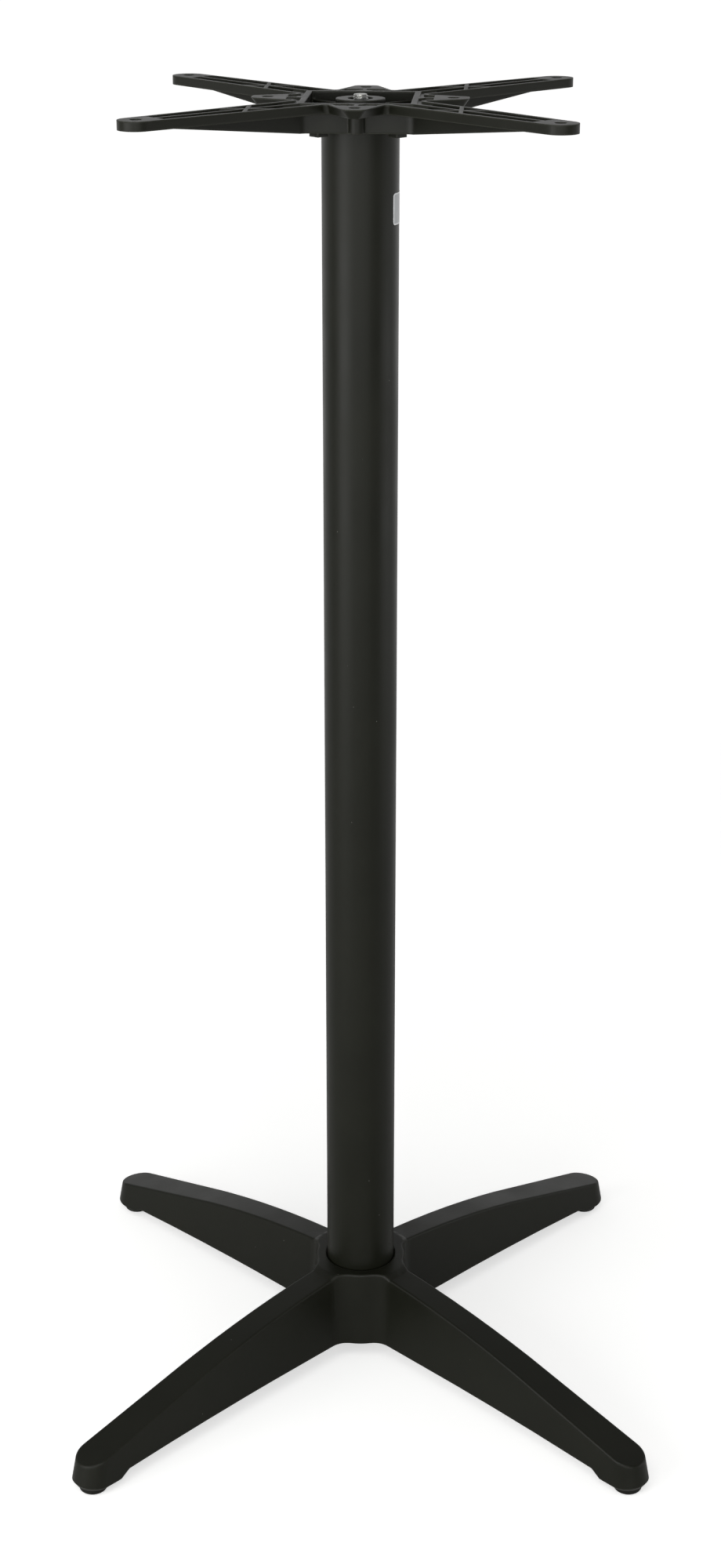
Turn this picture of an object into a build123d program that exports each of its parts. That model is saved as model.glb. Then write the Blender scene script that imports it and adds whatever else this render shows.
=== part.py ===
"""Bar-height table base: a cast four-leg foot, a round column and a ribbed cast top spider.

A threaded rod inside the column pulls the spider down on to the foot. Each leg
stands on a levelling foot that screws into the leg tip. Millimetres, +Z up; the
origin is on the floor on the column's axis, and the legs lie on the diagonals.
"""
import math
import os

from build123d import *

# Overall
overall_height = 1106.0

# Column tube
column_diameter = 60.0
column_wall = 2.5
column_clearance = 0.3

# Cast foot: four drafted hollow legs and a hub with a socket for the column
foot_reach = 316.5
leg_width_low = 35.0
leg_draft = 4.0
leg_wall = 4.5
leg_tip_height = 7.2
leg_tip_chamfer = 3.0
leg_tip_chamfer_height = 4.5
leg_tip_lean = 13.0
leg_tip_length = 31.0
leg_heel_length = 12.0
leg_heel_rise = 7.2
leg_rim_height = 19.7
leg_top_at_tip = 29.0
leg_top_slope = 14.0
leg_straight_length = 119.0
hub_top_height = 88.4
hub_disc_radius = 44.0
hub_step = 3.0
hub_radius_low = 45.0
hub_leg_fillet = 17.0
hub_floor = 8.0
socket_depth = 42.0
socket_wall = 6.5
socket_lip = 1.5

# Levelling feet: a plastic pad moulded on to the hexagon head of a threaded stud
pad_diameter = 24.0
pad_clearance = 0.3
stud_diameter = 8.0
stud_clearance = 0.05
stud_grip = 16.0
stud_head_across_flats = 13.0
stud_head_height = 4.0

# Tie rod with its washer and nut
rod_diameter = 11.8
rod_clearance = 0.6
thread_clearance = 0.1
rod_above_top = 2.4
rod_below_nut = 4.0
washer_diameter = 30.0
washer_thickness = 3.0
nut_across_flats = 19.0
nut_height = 10.0

# Cast top spider: rimmed arms and lobes round a square box
spider_twist = -3.6
tip_hole_square = 300.0
lobe_hole_square = 100.0
screw_hole_diameter = 9.0
band_depth = 7.0
rim_width = 3.4
rib_width = 3.0
arm_floor = 2.5
arm_tip_radius = 13.5
arm_root_width = 40.0
tip_plate_length = 17.0
brace_distance = 111.0
lobe_length = 83.0
lobe_end_width = 17.0
lobe_root_width = 46.0
lobe_corner_radius = 5.5
lobe_undercut = 5.0
notch_radius = 3.5
box_side = 89.0
box_wall = 4.5
box_depth = 21.8
box_floor = 5.0
shelf_depth = 1.5
shelf_width = 11.5
web_thickness = 6.0
web_tip_gap = 16.0
web_fillet = 10.0
pilaster_diameter = 13.5
pilaster_depth_in_wall = 2.0
boss_diameter_low = 40.0
boss_diameter_top = 37.5
boss_below_top = 0.7
counterbore_diameter = 19.7
counterbore_depth = 8.0
gusset_below_top = 6.0
lug_distance = 42.0
lug_length = 10.0
lug_width = 10.0
lug_height = 3.9
spigot_height = 8.0
spigot_wall = 5.0

# Places worked out from the sizes above
column_radius = column_diameter / 2
socket_radius = column_radius + column_clearance
socket_floor = hub_top_height - socket_depth
hub_underside = socket_floor - hub_floor
leg_end = foot_reach + leg_width_low / 2
tip_tilt = leg_tip_lean - leg_draft
tip_chamfer_angle = tip_tilt + math.degrees(math.atan2(leg_tip_chamfer, leg_tip_chamfer_height))
tip_outward = leg_width_low / 2 * math.cos(math.radians(tip_tilt))
tip_upward = leg_width_low / 2 * math.sin(math.radians(tip_tilt))
tip_widest_height = leg_tip_height + leg_tip_chamfer_height - tip_upward
tip_axis_distance = leg_end - tip_outward + tip_widest_height * math.tan(math.radians(tip_tilt))
heel_outer = leg_end - leg_tip_length
heel_inner = heel_outer - leg_heel_length
spider_underside = overall_height - box_depth
tip_hole_radius = tip_hole_square / math.sqrt(2)
lobe_hole_radius = lobe_hole_square / math.sqrt(2)
corner_angles = {"rear_right": 45, "rear_left": 135, "front_left": 225, "front_right": 315}


def four(shape, first_angle):
    """Four copies of a shape, turned by quarter turns about the axis."""
    return [Rot(0, 0, first_angle + 90 * turn) * shape for turn in range(4)]


def foot_envelope(skin):
    """Space that gives the foot its curved top and its lower rim: bars along the legs, and a hub.

    A skin above zero sets the top down by that much, which is the space of the hollow below.
    """
    slope = math.tan(math.radians(leg_top_slope))
    end = leg_end + leg_wall
    straight_start = leg_end - leg_straight_length
    straight_height = leg_top_at_tip + leg_straight_length * slope - skin
    hub_top = hub_top_height - skin
    leg_start = hub_disc_radius + 2 * hub_step
    tip = Line((end, leg_top_at_tip - leg_wall * slope - skin), (straight_start, straight_height))
    curve = TangentArc(tip @ 1, (leg_start, hub_top - hub_step), tangent=tip % 1)
    hub = Polyline(
        curve @ 1, (leg_start, hub_top), (0, hub_top), (0, leg_rim_height),
        (2 * hub_radius_low, leg_rim_height),
    )
    under_leg = TangentArc(hub @ 1, (heel_inner, leg_tip_height + leg_heel_rise), tangent=hub % 1)
    under_tip = Polyline(
        under_leg @ 1, (heel_outer, leg_tip_height), (end, leg_tip_height), tip @ 0
    )
    side = make_face([tip, curve, hub, under_leg, under_tip])
    bar = extrude(Plane.XZ * side, hub_radius_low, both=True)
    stepped_disc = make_face(Polyline(
        (0, 0), (end, 0), (end, hub_top - hub_step), (leg_start, hub_top - hub_step),
        (hub_disc_radius, hub_top), (0, hub_top), close=True,
    ))
    return revolve(Plane.XZ * stepped_disc, Axis.Z) & (Part() + four(bar, 0))


def make_leg_tip(plane):
    """Round leaning end of a leg along +X: half the leg's section, turned about the tilted axis."""
    stretch = 1 / math.cos(math.radians(tip_tilt))
    half_width = leg_width_low / 2
    low_width = half_width - leg_tip_chamfer_height * math.tan(math.radians(tip_chamfer_angle))
    high_width = half_width - hub_top_height * math.tan(math.radians(leg_draft))
    low = (tip_widest_height - leg_tip_chamfer_height) * stretch
    high = (tip_widest_height + hub_top_height) * stretch
    half_section = make_face(Polyline(
        (0, low), (low_width, low), (half_width, tip_widest_height * stretch),
        (high_width, high), (0, high), close=True,
    ))
    return revolve(plane * half_section, Axis(plane.origin, -plane.y_dir), 180)


def make_foot_base():
    """The cast foot: drafted star body, hollow below, with the column's socket and stud holes.

    It is made with its legs along X and Y and then turned on to the diagonals.
    """
    plan = Circle(hub_radius_low)
    for angle in (0, 90):
        plan += Rot(0, 0, angle) * Rectangle(2 * leg_end, leg_width_low)
    at_hub = [v for v in plan.vertices() if math.hypot(v.X, v.Y) < hub_radius_low * 1.01]
    plan = Pos(0, 0, tip_widest_height) * fillet(at_hub, hub_leg_fillet)
    body = extrude(plan, hub_top_height, taper=leg_draft)
    body += extrude(plan, -leg_tip_chamfer_height, taper=tip_chamfer_angle)

    tilt = math.radians(tip_tilt)
    tip_plane = Plane(
        origin=(tip_axis_distance, 0, 0), x_dir=(0, 1, 0),
        z_dir=(math.cos(tilt), 0, math.sin(tilt)),
    )
    beyond_tip = Box(
        2 * leg_width_low, 4 * hub_top_height, 2 * leg_width_low,
        align=(Align.CENTER, Align.CENTER, Align.MIN),
    )
    body -= four(tip_plane * beyond_tip, 0)
    body += four(make_leg_tip(tip_plane), 0)
    body &= foot_envelope(0)

    leg_channel = Rectangle(2 * (heel_inner - leg_wall), leg_width_low - 2 * leg_wall)
    hollow_plan = leg_channel + Rot(0, 0, 90) * leg_channel
    hollow = extrude(hollow_plan, hub_top_height, taper=leg_draft)
    hollow &= foot_envelope(leg_wall) + Cylinder(
        leg_end, leg_rim_height, align=(Align.CENTER, Align.CENTER, Align.MIN)
    )
    socket_body = Cylinder(
        socket_radius + socket_wall, hub_top_height,
        align=(Align.CENTER, Align.CENTER, Align.MIN),
    )
    hollow -= Pos(0, 0, hub_underside) * socket_body
    body -= hollow
    body -= Cylinder(
        socket_radius, hub_underside, align=(Align.CENTER, Align.CENTER, Align.MIN)
    )

    socket = Pos(0, 0, socket_floor) * Cylinder(
        socket_radius, socket_depth, align=(Align.CENTER, Align.CENTER, Align.MIN)
    )
    lip = Pos(0, 0, hub_top_height - socket_lip) * Cone(
        socket_radius, socket_radius + socket_lip, socket_lip,
        align=(Align.CENTER, Align.CENTER, Align.MIN),
    )
    rod_hole = Cylinder(rod_diameter / 2 + rod_clearance, 2 * hub_top_height)
    body -= [socket, lip, rod_hole]
    stud_hole = Cylinder(
        stud_diameter / 2 + stud_clearance, leg_tip_height + stud_grip,
        align=(Align.CENTER, Align.CENTER, Align.MIN),
    )
    body -= four(Pos(foot_reach, 0) * stud_hole, 0)
    return Rot(0, 0, 45) * body


def make_column_tube():
    """Plain round tube from the socket's floor to the underside of the spider."""
    ring = Circle(column_radius) - Circle(column_radius - column_wall)
    return extrude(Pos(0, 0, socket_floor) * ring, spider_underside - socket_floor)


def stud_head():
    """Hexagon head of a levelling foot's stud, flush with the pad's top."""
    hexagon = RegularPolygon(stud_head_across_flats / 2, 6, major_radius=False)
    return extrude(Pos(0, 0, leg_tip_height - pad_clearance) * hexagon, -stud_head_height)


def make_pad():
    """Round pad of a levelling foot, with its sole on the floor and the stud's head moulded in."""
    height = leg_tip_height - pad_clearance
    body = Cylinder(pad_diameter / 2, height, align=(Align.CENTER, Align.CENTER, Align.MIN))
    return body - stud_head()


def make_stud():
    """Threaded stud of a levelling foot, with its head in the pad, reaching up into the leg tip."""
    head_top = leg_tip_height - pad_clearance
    length = leg_tip_height + stud_grip - thread_clearance - head_top
    shank = Pos(0, 0, head_top) * Cylinder(
        stud_diameter / 2, length, align=(Align.CENTER, Align.CENTER, Align.MIN)
    )
    return stud_head() + shank


def make_tie_rod():
    """Threaded rod from below the foot's nut to just above the spider's top."""
    bottom = hub_underside - washer_thickness - nut_height - rod_below_nut
    top = overall_height + rod_above_top
    return Pos(0, 0, bottom) * Cylinder(
        rod_diameter / 2, top - bottom, align=(Align.CENTER, Align.CENTER, Align.MIN)
    )


def make_clamp_washer():
    """Flat washer under the floor of the foot's socket."""
    ring = Circle(washer_diameter / 2) - Circle(rod_diameter / 2 + rod_clearance)
    return extrude(Pos(0, 0, hub_underside) * ring, -washer_thickness)


def make_clamp_nut():
    """Hexagon nut that tightens the tie rod from below."""
    hexagon = RegularPolygon(nut_across_flats / 2, 6, major_radius=False)
    hexagon -= Circle(rod_diameter / 2 + thread_clearance)
    return extrude(Pos(0, 0, hub_underside - washer_thickness) * hexagon, -nut_height)


def arm_plan(inset):
    """Plan of one arm along +X, tapering from its root on the axis to its round tip."""
    root = arm_root_width / 2 - inset
    end = arm_tip_radius - inset
    taper = Polygon(
        (0, -root), (tip_hole_radius, -end), (tip_hole_radius, end), (0, root), align=None
    )
    return taper + Pos(tip_hole_radius, 0) * Circle(end)


def lobe_plan(inset):
    """Plan of one screw lobe along +X, narrowing outwards to a rounded square end."""
    root = lobe_root_width / 2
    end = lobe_end_width / 2 - inset
    start = box_side / 2
    length = lobe_length - inset
    plan = Polygon((0, -root), (start, -root), (length, -end), (length, end),
                   (start, root), (0, root), align=None)
    corner_radius = lobe_corner_radius * end / (lobe_end_width / 2)
    return fillet(plan.vertices().sort_by(Axis.X)[-2:], corner_radius)


def spider_plan(lobe_inset):
    """Outer outline of the spider with rounded notches between its arms and lobes."""
    plan = Rectangle(box_side, box_side)
    for arm in four(arm_plan(0), 45):
        plan += arm
    for lobe in four(lobe_plan(lobe_inset), 0):
        plan += lobe
    notches = []
    for vertex in plan.vertices():
        across = min(abs(vertex.X), abs(vertex.Y))
        along = max(abs(vertex.X), abs(vertex.Y))
        if across > lobe_end_width / 2 and along < lobe_length * 0.9:
            notches.append(vertex)
    return fillet(notches, notch_radius)


def arm_ribs():
    """Plan of one arm's middle rib and of the crossed braces between its rims, along +X."""
    ribs = Pos(tip_hole_radius / 2, 0) * Rectangle(tip_hole_radius, rib_width)
    for angle in (45, -45):
        brace = Rectangle(arm_root_width * 2, rib_width)
        ribs += Pos(brace_distance, 0) * Rot(0, 0, angle) * brace
    return ribs


def make_webs():
    """Tapering webs below the arms, filleted in plan into the walls of the square box."""
    web_end = tip_hole_radius - web_tip_gap
    plan = Rectangle(box_side, box_side)
    for angle in (45, 135):
        plan += Rot(0, 0, angle) * Rectangle(2 * web_end, web_thickness)
    at_walls = [v for v in plan.vertices() if math.hypot(v.X, v.Y) < box_side / math.sqrt(2) * 1.01]
    plan = fillet(at_walls, web_fillet)
    web_top = band_depth - arm_floor / 2
    side = make_face(Polyline(
        (0, -web_top), (web_end, -web_top), (web_end, -band_depth),
        (box_side / math.sqrt(2), -box_depth), (0, -box_depth), close=True,
    ))
    return extrude(plan, -box_depth) & revolve(Plane.XZ * side, Axis.Z)


def make_top_spider():
    """The cast spider: a shallow rimmed plate with deep pockets, a square box and webs below."""
    outline = spider_plan(0)
    top = loft([Pos(0, 0, -band_depth) * spider_plan(lobe_undercut), outline], ruled=True)

    shelf_square = Rectangle(box_side + 2 * shelf_width, box_side + 2 * shelf_width)
    box_square = Rectangle(box_side, box_side)
    tip_plate = Pos(tip_hole_radius - tip_plate_length, 0) * Rectangle(
        2 * tip_plate_length, 3 * arm_tip_radius, align=(Align.MIN, Align.CENTER)
    )
    arm_pocket = arm_plan(rim_width) - arm_ribs() - tip_plate
    for pocket in four(arm_pocket, 45):
        top -= extrude(pocket - shelf_square, -(band_depth - arm_floor))

    shelf = offset(outline, -rim_width) & shelf_square
    shelf -= box_square
    middle_rib = Rectangle(4 * box_side, rib_width)
    for angle in (0, 45, 90, 135):
        shelf -= Rot(0, 0, angle) * middle_rib
    top -= extrude(shelf, -shelf_depth)

    box = extrude(Rectangle(box_side, box_side), -box_depth)
    pilaster = Pos(box_side / 2 - pilaster_depth_in_wall, 0) * extrude(
        Circle(pilaster_diameter / 2), -box_depth
    )
    lug = Pos(lug_distance, 0, -box_depth) * Box(
        lug_length, lug_width, lug_height, align=(Align.CENTER, Align.CENTER, Align.MAX)
    )
    body = top + box + make_webs()
    body += four(pilaster, 0) + four(lug, 45)

    pocket_side = box_side - 2 * box_wall
    floor_level = box_depth - box_floor
    pocket = extrude(Rectangle(pocket_side, pocket_side), -floor_level)
    boss_height = floor_level - boss_below_top
    boss = Pos(0, 0, -floor_level) * Cone(
        boss_diameter_low / 2, boss_diameter_top / 2, boss_height,
        align=(Align.CENTER, Align.CENTER, Align.MIN),
    )
    gusset = Pos(0, 0, -floor_level) * Box(
        box_side * math.sqrt(2) - box_wall, rib_width, floor_level - gusset_below_top,
        align=(Align.CENTER, Align.CENTER, Align.MIN),
    )
    body = body - (pocket - boss - Rot(0, 0, 45) * gusset - Rot(0, 0, 135) * gusset)

    spigot_radius = column_radius - column_wall - column_clearance
    spigot = Circle(spigot_radius) - Circle(spigot_radius - spigot_wall)
    body += extrude(Pos(0, 0, -box_depth) * spigot, -spigot_height)

    rod_hole = Cylinder(rod_diameter / 2 + thread_clearance, 3 * box_depth)
    counterbore = Cylinder(
        counterbore_diameter / 2, counterbore_depth + boss_below_top,
        align=(Align.CENTER, Align.CENTER, Align.MAX),
    )
    screw_hole = Cylinder(screw_hole_diameter / 2, 3 * box_depth)
    body -= [rod_hole, counterbore]
    body -= four(Pos(tip_hole_radius, 0) * screw_hole, 45)
    body -= four(Pos(lobe_hole_radius, 0) * screw_hole, 0)
    return Pos(0, 0, overall_height) * Rot(0, 0, spider_twist) * body


pieces = {
    "foot_base": make_foot_base(),
    "column_tube": make_column_tube(),
    "top_spider": make_top_spider(),
    "tie_rod": make_tie_rod(),
    "clamp_washer": make_clamp_washer(),
    "clamp_nut": make_clamp_nut(),
}
for corner, angle in corner_angles.items():
    place = Rot(0, 0, angle) * Pos(foot_reach, 0, 0)
    pieces[f"foot_pad_{corner}"] = place * make_pad()
    pieces[f"foot_stud_{corner}"] = place * make_stud()

os.makedirs("parts", exist_ok=True)
for name, piece in pieces.items():
    piece.label = name
    export_step(piece, f"parts/{name}.step")
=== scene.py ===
"""Looks of a bar-height table base: powder-coated castings and tube, zinc-plated fixings,
plastic levelling pads and a blank sticker, on a plain white studio floor."""
import math

import bmesh
import bpy
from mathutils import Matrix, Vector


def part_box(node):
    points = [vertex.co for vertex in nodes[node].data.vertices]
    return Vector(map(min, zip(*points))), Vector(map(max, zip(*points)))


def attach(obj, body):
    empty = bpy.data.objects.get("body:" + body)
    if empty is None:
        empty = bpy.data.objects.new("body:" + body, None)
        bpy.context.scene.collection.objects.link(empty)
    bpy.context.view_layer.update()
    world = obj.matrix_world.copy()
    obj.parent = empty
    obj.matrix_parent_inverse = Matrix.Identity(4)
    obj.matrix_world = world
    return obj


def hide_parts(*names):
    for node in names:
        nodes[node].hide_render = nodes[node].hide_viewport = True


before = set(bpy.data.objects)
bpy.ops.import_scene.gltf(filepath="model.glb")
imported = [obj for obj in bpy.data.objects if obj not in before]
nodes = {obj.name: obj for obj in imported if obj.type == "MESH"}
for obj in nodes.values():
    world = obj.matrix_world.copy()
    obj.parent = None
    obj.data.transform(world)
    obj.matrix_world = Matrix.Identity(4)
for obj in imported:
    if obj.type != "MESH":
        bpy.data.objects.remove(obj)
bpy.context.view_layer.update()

# Foot: one aluminium casting with four hollow legs and a round hub that holds the column.
# It is blasted and powder-coated black, so the coat lies over the casting's slight
# unevenness, melts to a fine satin grain and pulls thin along the edges.
MM = 0.001
COAT_BLACK = "0e0f09"
COAT_GREY = "15160e"
# The next four values paint the edges paler: partly thin coat, partly a painted highlight.
THIN_COAT_AND_EDGE_HIGHLIGHT = "3d3e36"
THIN_COAT_AND_HIGHLIGHT_SHARE = 0.7
THIN_COAT_AND_HIGHLIGHT_STARTS = 0.99
THIN_COAT_AND_HIGHLIGHT_FULL = 0.8
DUST = "777773"
DUST_SPECK = 0.35 * MM
DUST_SOLID_SHARE = 0.6
DUST_SPACING = 16 * MM
COAT_SATIN = 0.42
COAT_SATIN_SPREAD = 0.05
CLOUD_LOW = 0.3
CLOUD_HIGH = 0.7
COAT_SPECULAR = 0.2
EDGE_ROUNDING = 1.6 * MM
EDGE_STEPS = 4
EDGE_ROOM = 2.6 * MM
EDGE_SLIDE = 2 * MM
SOCKET_RIM = 36 * MM
UP_FACING = 0.6
SHARP_ANGLE = math.radians(35)
FLAT_ANGLE = math.radians(0.6)
WELD = 0.002 * MM


def linear(hex_colour):
    """Linear colour of an sRGB hex value."""
    channels = [int(hex_colour[i:i + 2], 16) / 255 for i in (0, 2, 4)]
    return [c / 12.92 if c <= 0.04045 else ((c + 0.055) / 1.055) ** 2.4 for c in channels] + [1.0]


def add(tree, kind, inputs=None, **settings):
    """Adds a node; inputs maps sockets to values, or to the output sockets that feed them."""
    node = tree.nodes.new(kind)
    for name, value in settings.items():
        setattr(node, name, value)
    for name, value in (inputs or {}).items():
        if isinstance(value, bpy.types.NodeSocket):
            tree.links.new(value, node.inputs[name])
        else:
            node.inputs[name].default_value = value
    return node


def new_tree(name):
    """A new material and its empty node tree."""
    material = bpy.data.materials.new(name)
    material.use_nodes = True
    material.node_tree.nodes.clear()
    return material, material.node_tree


# Polyester powder, sprayed on and baked: a satin black with a slight olive cast. The eye sees a
# fine grain, soft clouds of tone and gloss, and stray dust. The edges are paler, partly where the
# coat is thin and partly as a painted highlight along them.
# The real grain, about 0.5 mm wide, is too fine to show, so it is drawn about 2 mm wide.
def powder_coat(name, grain_width, grain_depth, cloud_width, edge_radius):
    """A powder coat with a grain, clouds and edges of the given sizes in metres."""
    material, tree = new_tree(name)
    place = add(tree, "ShaderNodeTexCoord").outputs["Object"]
    grain = add(tree, "ShaderNodeTexNoise",
                {"Vector": place, "Scale": 1 / grain_width, "Detail": 2.0}).outputs["Fac"]
    clouds = add(tree, "ShaderNodeTexNoise",
                 {"Vector": place, "Scale": 1 / cloud_width, "Detail": 4.0}).outputs["Fac"]
    rounded = add(tree, "ShaderNodeBevel", {"Radius": edge_radius}, samples=6).outputs["Normal"]
    flat = add(tree, "ShaderNodeNewGeometry").outputs["Normal"]
    # This is 1 on a face, and less where a rounded edge leans away from it.
    facing = add(tree, "ShaderNodeVectorMath", {0: rounded, 1: flat},
                 operation="DOT_PRODUCT").outputs["Value"]
    # The paler edge colour is partly thin coat and partly a painted highlight along the edges.
    edge = add(tree, "ShaderNodeMapRange",
               {"Value": facing, "From Min": THIN_COAT_AND_HIGHLIGHT_STARTS, "From Max": THIN_COAT_AND_HIGHLIGHT_FULL,
                "To Max": THIN_COAT_AND_HIGHLIGHT_SHARE}).outputs["Result"]
    tone = add(tree, "ShaderNodeMixRGB",
               {"Fac": clouds, "Color1": linear(COAT_BLACK),
                "Color2": linear(COAT_GREY)}).outputs["Color"]
    tone = add(tree, "ShaderNodeMixRGB",
               {"Fac": edge, "Color1": tone, "Color2": linear(THIN_COAT_AND_EDGE_HIGHLIGHT)}).outputs["Color"]
    nearest = add(tree, "ShaderNodeTexVoronoi",
                  {"Vector": place, "Scale": 1 / DUST_SPACING}).outputs["Distance"]
    speck = add(tree, "ShaderNodeMapRange",
                {"Value": nearest, "From Min": DUST_SPECK / DUST_SPACING,
                 "From Max": DUST_SOLID_SHARE * DUST_SPECK / DUST_SPACING}).outputs["Result"]
    tone = add(tree, "ShaderNodeMixRGB",
               {"Fac": speck, "Color1": tone, "Color2": linear(DUST)}).outputs["Color"]
    roughness = add(tree, "ShaderNodeMapRange",
                    {"Value": clouds, "From Min": CLOUD_LOW, "From Max": CLOUD_HIGH,
                     "To Min": COAT_SATIN - COAT_SATIN_SPREAD,
                     "To Max": COAT_SATIN + COAT_SATIN_SPREAD}).outputs["Result"]
    skin = add(tree, "ShaderNodeBump",
               {"Height": grain, "Distance": grain_depth, "Normal": rounded}).outputs["Normal"]
    shader = add(tree, "ShaderNodeBsdfPrincipled",
                 {"Base Color": tone, "Roughness": roughness,
                  "Specular IOR Level": COAT_SPECULAR, "Normal": skin})
    add(tree, "ShaderNodeOutputMaterial", {"Surface": shader.outputs["BSDF"]})
    return material


casting_coat = powder_coat("powder_coat_on_casting", grain_width=2.2 * MM,
                           grain_depth=0.04 * MM, cloud_width=45 * MM, edge_radius=2.0 * MM)


def mesh_piece(name, points, faces, *materials):
    """A mesh object in the scene, smooth but for its sharp edges, made from points in metres."""
    mesh = bpy.data.meshes.new(name)
    mesh.from_pydata(points, [], faces)
    for material in materials:
        mesh.materials.append(material)
    mesh.validate()
    mesh.shade_smooth()
    mesh.set_sharp_from_angle(angle=SHARP_ANGLE)
    piece = bpy.data.objects.new(name, mesh)
    bpy.context.scene.collection.objects.link(piece)
    return piece


def upper_edges(form):
    """The sharp edges round the foot's upper side, between its top and its outer walls."""
    found = []
    for edge in form.edges:
        if not edge.is_convex or edge.calc_face_angle(0) < SHARP_ANGLE:
            continue
        middle = (edge.verts[0].co + edge.verts[1].co) / 2
        wall, top = sorted(face.normal.z for face in edge.link_faces)
        if middle.xy.length > SOCKET_RIM and top > UP_FACING and abs(wall) < UP_FACING:
            found.append(edge)
    return found


# The casting keeps the solid's form. Its upper edges are rounded, after the points of the walls
# that would crowd the rounding have slid down out of its way.
form = bmesh.new()
form.from_mesh(nodes["foot_base"].data)
bmesh.ops.remove_doubles(form, verts=form.verts, dist=WELD)
bmesh.ops.dissolve_limit(form, angle_limit=FLAT_ANGLE, verts=form.verts, edges=form.edges)
on_edge = {point for edge in upper_edges(form) for point in edge.verts}
crowding = {edge.other_vert(point) for point in on_edge for edge in point.link_edges
            if edge.calc_length() < EDGE_ROOM} - on_edge
for point in form.verts:
    if point in crowding:
        others = [edge.other_vert(point) for edge in point.link_edges]
        below = min((other for other in others if other not in on_edge),
                    key=lambda other: other.co.z)
        point.co += (below.co - point.co).normalized() * EDGE_SLIDE
form.normal_update()
bmesh.ops.bevel(form, geom=upper_edges(form), offset=EDGE_ROUNDING, offset_type="OFFSET",
                segments=EDGE_STEPS, profile=0.5, affect="EDGES", clamp_overlap=False,
                loop_slide=True)
form.verts.index_update()
foot = mesh_piece("cast_foot", [tuple(point.co) for point in form.verts],
                  [[point.index for point in face.verts] for face in form.faces], casting_coat)
form.free()
foot.modifiers.new("flat_walls", "WEIGHTED_NORMAL").keep_sharp = True
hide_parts("foot_base")
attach(foot, "base")

# Levelling feet: a black plastic pad moulded on to the hexagon head of an M8 zinc-plated stud,
# one screwed into each leg tip. The stud shows only where the foot is screwed out.
CORNERS = ("rear_right", "rear_left", "front_left", "front_right")
PAD_BLACK = "0f0f0c"
PAD_GREY = "1a1a16"
PAD_GRAIN = 0.6 * MM
PAD_GRAIN_DEPTH = 0.02 * MM
PAD_SCUFF = 5 * MM
PAD_SMOOTH = 0.48
PAD_SCUFFED = 0.64
PAD_SPECULAR = 0.2
PAD_SOLE_EDGE = 2.8 * MM
PAD_SOLE_STEPS = 8
PAD_TOP_EDGE = 0.3 * MM
STUD_HEAD_ACROSS_FLATS = 13 * MM
STUD_HEAD_HEIGHT = 4 * MM
M8_RADIUS = 4 * MM
M8_PITCH = 1.25 * MM
THREAD_DEPTH = 0.61
THREAD_FLAT = 0.1
THREAD_CHAMFER = 0.6
RINGS_PER_TURN = 8
ANGLES = [math.radians(5 * step) for step in range(72)]


def ring_stack(name, rings, centre, material):
    """A closed piece skinned over rings about an upright axis, each a height and its radii."""
    points, faces = [], []
    for height, radii in rings:
        for angle, radius in zip(ANGLES, radii):
            points.append((centre.x + radius * math.cos(angle),
                           centre.y + radius * math.sin(angle), height))
    around = len(ANGLES)
    for first in range(0, len(points) - around, around):
        for step in range(around):
            after = (step + 1) % around
            faces.append((first + step, first + after,
                          first + around + after, first + around + step))
    faces.append(tuple(reversed(range(around))))
    faces.append(tuple(range(len(points) - around, len(points))))
    return mesh_piece(name, points, faces, material)


def circle(radius):
    """Radii of a round ring."""
    return [radius] * len(ANGLES)


def hexagon(across_flats, corner_angle):
    """Radii of a hexagonal ring with a corner at the given angle."""
    sixth = math.pi / 3
    return [across_flats / 2 / math.cos((angle - corner_angle) % sixth - sixth / 2)
            for angle in ANGLES]


def thread_rings(root, tip, radius, pitch):
    """Rings of a rolled thread, from its run-out at height root to its chamfered end at tip.
    Its groove is a V with flats at crest and root, each a tenth of the pitch."""
    depth = THREAD_DEPTH * pitch
    length = abs(tip - root)
    count = round(length / pitch * RINGS_PER_TURN)
    rings = []
    for step in range(count + 1):
        height = root + (tip - root) * step / count
        from_root = length * step / count
        run_out = min(1, from_root / pitch)
        chamfer = THREAD_CHAMFER * max(0, pitch - (length - from_root))
        radii = []
        for angle in ANGLES:
            phase = (height / pitch - angle / (2 * math.pi)) % 1
            groove = (abs(2 * phase - 1) - THREAD_FLAT) / (1 - 2 * THREAD_FLAT)
            groove = min(1, max(0, groove))
            radii.append(radius - max(depth * groove * run_out, chamfer))
        rings.append((height, radii))
    return rings


# Polypropylene, moulded in a spark-eroded tool: matte, with a faint grain and grey scuffs. The
# real grain, about 0.2 mm wide, is drawn 0.6 mm wide so that it shows.
pad_plastic, tree = new_tree("moulded_polypropylene")
place = add(tree, "ShaderNodeTexCoord").outputs["Object"]
grain = add(tree, "ShaderNodeTexNoise",
            {"Vector": place, "Scale": 1 / PAD_GRAIN}).outputs["Fac"]
scuffs = add(tree, "ShaderNodeTexNoise",
             {"Vector": place, "Scale": 1 / PAD_SCUFF, "Detail": 5.0}).outputs["Fac"]
tone = add(tree, "ShaderNodeMixRGB",
           {"Fac": scuffs, "Color1": linear(PAD_BLACK),
            "Color2": linear(PAD_GREY)}).outputs["Color"]
gloss = add(tree, "ShaderNodeMapRange",
            {"Value": scuffs, "To Min": PAD_SMOOTH, "To Max": PAD_SCUFFED}).outputs["Result"]
skin = add(tree, "ShaderNodeBump",
           {"Height": grain, "Distance": PAD_GRAIN_DEPTH}).outputs["Normal"]
shader = add(tree, "ShaderNodeBsdfPrincipled",
             {"Base Color": tone, "Roughness": gloss,
              "Specular IOR Level": PAD_SPECULAR, "Normal": skin})
add(tree, "ShaderNodeOutputMaterial", {"Surface": shader.outputs["BSDF"]})

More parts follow.
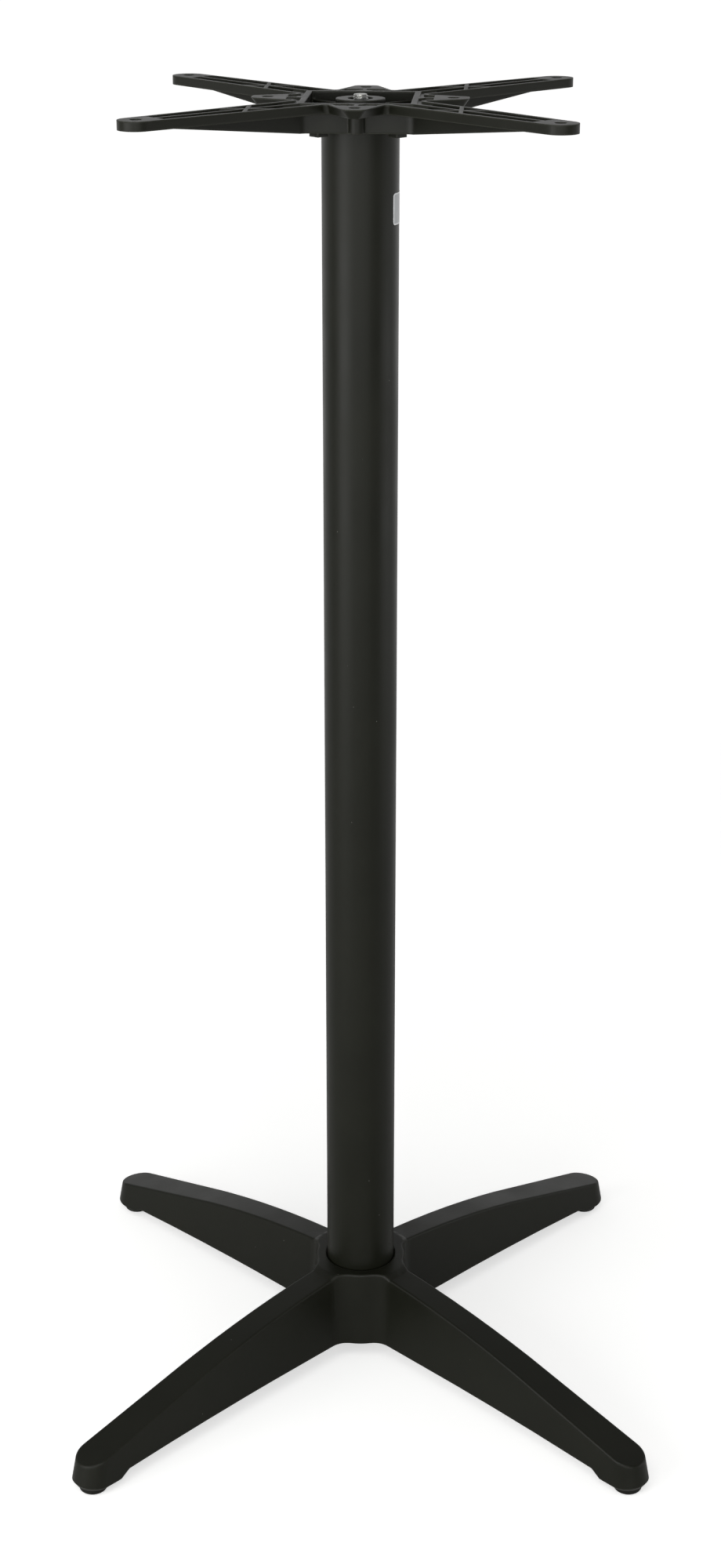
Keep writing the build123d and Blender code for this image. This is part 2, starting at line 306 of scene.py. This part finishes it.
# Bright zinc plate on steel: a pale metal that clouds between blue and yellow, with a fine
# grain from the bath and edges that catch the light. The real grain, under 0.1 mm wide, is
# drawn 0.5 mm wide so that it shows.
ZINC_BLUE = "b2b5ba"
ZINC_YELLOW = "bdbbb0"
ZINC_CLOUD = 4 * MM
ZINC_BRIGHT = 0.22
ZINC_DULL = 0.42
ZINC_GRAIN = 0.5 * MM
ZINC_GRAIN_DEPTH = 0.01 * MM
ZINC_EDGE = 0.3 * MM
zinc_plate, tree = new_tree("bright_zinc_plate")
place = add(tree, "ShaderNodeTexCoord").outputs["Object"]
clouds = add(tree, "ShaderNodeTexNoise",
             {"Vector": place, "Scale": 1 / ZINC_CLOUD, "Detail": 3.0}).outputs["Fac"]
grain = add(tree, "ShaderNodeTexNoise",
            {"Vector": place, "Scale": 1 / ZINC_GRAIN}).outputs["Fac"]
tone = add(tree, "ShaderNodeMixRGB",
           {"Fac": clouds, "Color1": linear(ZINC_BLUE),
            "Color2": linear(ZINC_YELLOW)}).outputs["Color"]
gloss = add(tree, "ShaderNodeMapRange",
            {"Value": clouds, "To Min": ZINC_BRIGHT, "To Max": ZINC_DULL}).outputs["Result"]
rounded = add(tree, "ShaderNodeBevel", {"Radius": ZINC_EDGE}, samples=6).outputs["Normal"]
skin = add(tree, "ShaderNodeBump",
           {"Height": grain, "Distance": ZINC_GRAIN_DEPTH, "Normal": rounded}).outputs["Normal"]
shader = add(tree, "ShaderNodeBsdfPrincipled",
             {"Base Color": tone, "Metallic": 1.0, "Roughness": gloss, "Normal": skin})
add(tree, "ShaderNodeOutputMaterial", {"Surface": shader.outputs["BSDF"]})

for corner in CORNERS:
    low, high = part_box(f"foot_pad_{corner}")
    centre = (low + high) / 2
    radius = (high.x - low.x) / 2
    head = hexagon(STUD_HEAD_ACROSS_FLATS, math.atan2(centre.y, centre.x))
    head_low = high.z - STUD_HEAD_HEIGHT
    rings = []
    for step in range(PAD_SOLE_STEPS + 1):
        angle = math.pi / 2 * step / PAD_SOLE_STEPS
        rings.append((low.z + PAD_SOLE_EDGE * (1 - math.cos(angle)),
                      circle(radius - PAD_SOLE_EDGE * (1 - math.sin(angle)))))
    rings += [(high.z - PAD_TOP_EDGE, circle(radius)), (high.z, circle(radius - PAD_TOP_EDGE)),
              (high.z, head), (head_low, head)]
    pad = ring_stack(f"levelling_pad_{corner}", rings, centre, pad_plastic)
    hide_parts(f"foot_pad_{corner}")
    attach(pad, f"foot_{corner}")
    stud_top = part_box(f"foot_stud_{corner}")[1].z
    rings = [(head_low, head), (high.z, head)]
    rings += thread_rings(high.z, stud_top, M8_RADIUS, M8_PITCH)
    stud = ring_stack(f"levelling_stud_{corner}", rings, centre, zinc_plate)
    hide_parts(f"foot_stud_{corner}")
    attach(stud, f"foot_{corner}")

# Column: a drawn round tube with square-cut ends that stands in the foot's socket. It is
# powder-coated black like the foot but smoother, because the drawn metal below is even.
tube_coat = powder_coat("powder_coat_on_tube", grain_width=2.0 * MM,
                        grain_depth=0.02 * MM, cloud_width=70 * MM, edge_radius=0.6 * MM)
nodes["column_tube"].material_slots[0].material = tube_coat

# Sticker: a blank vinyl label near the top of the column, grey inside a white border. It is cut
# with rounded corners and stuck by hand round the tube's right side.
STICKER_WHITE = "d4d5d6"
STICKER_GREY = "a2a4a6"
STICKER_HEIGHT = 24 * MM
STICKER_WIDTH = 40 * MM
STICKER_BELOW_TOP = 48 * MM
STICKER_CORNER = 2.5 * MM
STICKER_BORDER = 1.1 * MM
STICKER_THICKNESS = 0.15 * MM
STICKER_FRONT_ANGLE = math.radians(-33)
STICKER_COLUMNS = 24
STICKER_CORNER_STEPS = 6
VINYL_WAVE = 6 * MM
VINYL_WAVE_HEIGHT = 0.05 * MM
VINYL_BRIGHT = 0.3
VINYL_DULL = 0.45


def vinyl(name, colour):
    """Printed vinyl: smooth and semi-gloss, with a faint waviness from being laid by hand."""
    material, tree = new_tree(name)
    place = add(tree, "ShaderNodeTexCoord").outputs["Object"]
    waves = add(tree, "ShaderNodeTexNoise",
                {"Vector": place, "Scale": 1 / VINYL_WAVE}).outputs["Fac"]
    gloss = add(tree, "ShaderNodeMapRange",
                {"Value": waves, "To Min": VINYL_BRIGHT, "To Max": VINYL_DULL}).outputs["Result"]
    skin = add(tree, "ShaderNodeBump",
               {"Height": waves, "Distance": VINYL_WAVE_HEIGHT}).outputs["Normal"]
    shader = add(tree, "ShaderNodeBsdfPrincipled",
                 {"Base Color": linear(colour), "Roughness": gloss, "Normal": skin})
    add(tree, "ShaderNodeOutputMaterial", {"Surface": shader.outputs["BSDF"]})
    return material


def corner_inset(from_end):
    """How far a rounded corner draws the sticker's side in, at a distance from its end."""
    rest = max(0, STICKER_CORNER - from_end)
    return STICKER_CORNER - math.sqrt(STICKER_CORNER ** 2 - rest ** 2)


tube_low, tube_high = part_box("column_tube")
tube_radius = (tube_high.x - tube_low.x) / 2
corner_rows = [STICKER_CORNER * (1 - math.cos(math.pi / 2 * step / STICKER_CORNER_STEPS))
               for step in range(STICKER_CORNER_STEPS + 1)]
rows = sorted({STICKER_BORDER, *corner_rows, *(STICKER_HEIGHT - row for row in corner_rows),
               STICKER_HEIGHT - STICKER_BORDER})
points, faces, is_field = [], [], []
for row in rows:
    inset = corner_inset(min(row, STICKER_HEIGHT - row))
    across = [inset, STICKER_BORDER + inset]
    span = STICKER_WIDTH - 2 * (STICKER_BORDER + inset)
    across += [STICKER_BORDER + inset + span * column / STICKER_COLUMNS
               for column in range(1, STICKER_COLUMNS)]
    across += [STICKER_WIDTH - STICKER_BORDER - inset, STICKER_WIDTH - inset]
    for arc in across:
        angle = STICKER_FRONT_ANGLE + arc / tube_radius
        radius = tube_radius + STICKER_THICKNESS
        points.append((radius * math.cos(angle), radius * math.sin(angle),
                       tube_high.z - STICKER_BELOW_TOP - STICKER_HEIGHT + row))
per_row = len(across)
for row in range(len(rows) - 1):
    within_border = (rows[row] >= STICKER_BORDER
                     and rows[row + 1] <= STICKER_HEIGHT - STICKER_BORDER)
    for column in range(per_row - 1):
        first = row * per_row + column
        faces.append((first, first + 1, first + 1 + per_row, first + per_row))
        is_field.append(within_border and 0 < column < per_row - 2)
sticker = mesh_piece("blank_sticker", points, faces,
                     vinyl("white_vinyl", STICKER_WHITE),
                     vinyl("grey_printed_vinyl", STICKER_GREY))
for face, field in zip(sticker.data.polygons, is_field):
    face.material_index = int(field)
backing = sticker.modifiers.new("thickness", "SOLIDIFY")
backing.thickness = STICKER_THICKNESS
backing.offset = -1
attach(sticker, "base")

# Tie rod, washer and nut: an M12 zinc-plated rod down the middle of the column, threaded at
# both ends. It screws into the spider's boss, and the nut below the foot's socket pulls all
# three together.
M12_PITCH = 1.75 * MM
ROD_THREAD_LENGTH = 60 * MM

low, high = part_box("tie_rod")
radius = (high.x - low.x) / 2
rings = thread_rings(low.z + ROD_THREAD_LENGTH, low.z, radius, M12_PITCH)[::-1]
rings += thread_rings(high.z - ROD_THREAD_LENGTH, high.z, radius, M12_PITCH)
rod = ring_stack("threaded_tie_rod", rings, (low + high) / 2, zinc_plate)
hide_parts("tie_rod")
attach(rod, "base")
nodes["clamp_washer"].material_slots[0].material = zinc_plate
nodes["clamp_nut"].material_slots[0].material = zinc_plate

# Spider: one aluminium casting that carries the table top, with rimmed and ribbed arms, short
# screw lobes and a square box round the rod's boss. It has the foot's coat.
nodes["top_spider"].material_slots[0].material = casting_coat

# Studio: a wide white floor before a white backdrop, in a dimmer room with a darker ceiling, and
# soft lamps above, on the left, far in front and low on the right. Sizes are in metres.
FLOOR_WHITE = "d4d4d2"
FLOOR_SIZE = 60.0
GLOW_NEAR = 0.56
GLOW_FAR = 0.82
GLOW_REACH = 3.0
DIM_FLOOR_EDGE = 0.0
WHITE_FLOOR_EDGE = 3.0
BACKDROP_WHITE = "ffffff"
BACKDROP_LIGHT = 0.7
ROOM_LIGHT = 0.5
CEILING_SHARE = 0.5
CEILING_STARTS = 0.2
CEILING_FULL = 0.6
BACKDROP_STARTS = 0.1
BACKDROP_FULL = 0.8
WHITE_STARTS = 0.8
WHITE_FULL = 1.0

# Matt white paint. The camera sees it lifted to white, less so near the base, where its shadow
# lies. The coats and the zinc mirror that white only behind the base, below the backdrop.
floor_paint, tree = new_tree("white_studio_floor")
rays = add(tree, "ShaderNodeLightPath").outputs
place = add(tree, "ShaderNodeNewGeometry").outputs["Position"]
behind = add(tree, "ShaderNodeMapRange",
             {"Value": add(tree, "ShaderNodeSeparateXYZ", {"Vector": place}).outputs["Y"],
              "From Min": DIM_FLOOR_EDGE, "From Max": WHITE_FLOOR_EDGE}).outputs["Result"]
mirrored = add(tree, "ShaderNodeMath", {0: rays["Is Glossy Ray"], 1: rays["Is Transmission Ray"]},
               operation="MAXIMUM").outputs["Value"]
mirrored = add(tree, "ShaderNodeMath", {0: mirrored, 1: behind},
               operation="MULTIPLY").outputs["Value"]
seen = add(tree, "ShaderNodeMath", {0: rays["Is Camera Ray"], 1: mirrored},
           operation="MAXIMUM").outputs["Value"]
distance = add(tree, "ShaderNodeVectorMath", {0: place}, operation="LENGTH").outputs["Value"]
glow = add(tree, "ShaderNodeMapRange",
           {"Value": distance, "From Max": GLOW_REACH,
            "To Min": GLOW_NEAR, "To Max": GLOW_FAR}).outputs["Result"]
glow = add(tree, "ShaderNodeMath", {0: seen, 1: glow}, operation="MULTIPLY").outputs["Value"]
paint = add(tree, "ShaderNodeBsdfDiffuse", {"Color": linear(FLOOR_WHITE)}).outputs["BSDF"]
lift = add(tree, "ShaderNodeEmission", {"Strength": glow}).outputs["Emission"]
both = add(tree, "ShaderNodeAddShader", {0: paint, 1: lift}).outputs["Shader"]
add(tree, "ShaderNodeOutputMaterial", {"Surface": both})
half = FLOOR_SIZE / 2
floor = mesh_piece("studio_floor",
                   [(-half, -half, 0), (half, -half, 0), (half, half, 0), (-half, half, 0)],
                   [(0, 1, 2, 3)], floor_paint)

# The room's walls brighten towards the backdrop behind the base, and its ceiling is darker. The
# camera sees white all round, and the coats and the zinc mirror white straight behind the base.
# Each limit for these is the Y or the Z of a direction whose length is 1.
world = bpy.data.worlds.new("white_studio")
bpy.context.scene.world = world
world.use_nodes = True
tree = world.node_tree
tree.nodes.clear()
direction = add(tree, "ShaderNodeTexCoord").outputs["Generated"]
way = add(tree, "ShaderNodeSeparateXYZ", {"Vector": direction}).outputs
walls = add(tree, "ShaderNodeMapRange",
            {"Value": way["Y"], "From Min": BACKDROP_STARTS, "From Max": BACKDROP_FULL,
             "To Min": ROOM_LIGHT, "To Max": BACKDROP_LIGHT}).outputs["Result"]
share = add(tree, "ShaderNodeMapRange",
            {"Value": way["Z"], "From Min": CEILING_STARTS, "From Max": CEILING_FULL,
             "To Min": 1.0, "To Max": CEILING_SHARE}).outputs["Result"]
level = add(tree, "ShaderNodeMath", {0: walls, 1: share}, operation="MULTIPLY").outputs["Value"]
rays = add(tree, "ShaderNodeLightPath").outputs
behind = add(tree, "ShaderNodeMapRange",
             {"Value": way["Y"], "From Min": WHITE_STARTS,
              "From Max": WHITE_FULL}).outputs["Result"]
mirrored = add(tree, "ShaderNodeMath", {0: rays["Is Glossy Ray"], 1: behind},
               operation="MULTIPLY").outputs["Value"]
mirrored = add(tree, "ShaderNodeMath", {0: mirrored, 1: rays["Is Transmission Ray"]},
               operation="MAXIMUM").outputs["Value"]
seen = add(tree, "ShaderNodeMath", {0: rays["Is Camera Ray"], 1: mirrored},
           operation="MAXIMUM").outputs["Value"]
level = add(tree, "ShaderNodeMath", {0: level, 1: seen}, operation="MAXIMUM").outputs["Value"]
sky = add(tree, "ShaderNodeBackground",
          {"Color": linear(BACKDROP_WHITE), "Strength": level}).outputs["Background"]
add(tree, "ShaderNodeOutputWorld", {"Surface": sky})


def softbox(name, place, size, radiance):
    """A rectangular soft lamp of a given radiance that faces the middle of the base."""
    data = bpy.data.lights.new(name, "AREA")
    data.shape = "RECTANGLE"
    data.size, data.size_y = size
    data.energy = radiance * math.pi * size[0] * size[1]
    lamp = bpy.data.objects.new(name, data)
    lamp.location = place
    aim = Vector((0, 0, tube_high.z / 2)) - lamp.location
    lamp.rotation_euler = aim.to_track_quat("-Z", "Y").to_euler()
    lamp.visible_camera = False
    bpy.context.scene.collection.objects.link(lamp)


softbox("top_softbox", place=(-0.3, -2.3, 2.9), size=(2.4, 1.4), radiance=4.0)
softbox("left_softbox", place=(-2.0, -1.7, 0.95), size=(1.7, 1.9), radiance=4.0)
softbox("front_softbox", place=(0.1, -5.0, 1.1), size=(5.4, 1.6), radiance=3.0)
softbox("right_softbox", place=(2.3, -0.3, 0.3), size=(1.4, 0.6), radiance=2.4)

# Camera: at eye height in front of the base, looking down on to it. Its place, its pitch and its
# focal length, in pixels of a picture 2000 high, were fitted to the base's outline.
CAMERA_DISTANCE = 1.96014
CAMERA_HEIGHT = 1.32179
CAMERA_PITCH = math.radians(21.61)
IMAGE_HEIGHT = 2000
FOCAL_PIXELS = 3196.58
camera_data = bpy.data.cameras.new("photo_camera")
camera_data.sensor_fit = "VERTICAL"
camera_data.lens = FOCAL_PIXELS / IMAGE_HEIGHT * camera_data.sensor_height
camera = bpy.data.objects.new("photo_camera", camera_data)
camera.location = (0, -CAMERA_DISTANCE, CAMERA_HEIGHT)
camera.rotation_euler = (math.pi / 2 - CAMERA_PITCH, 0, 0)
bpy.context.scene.collection.objects.link(camera)
bpy.context.scene.camera = camera
bpy.context.scene.view_settings.view_transform = "Standard"
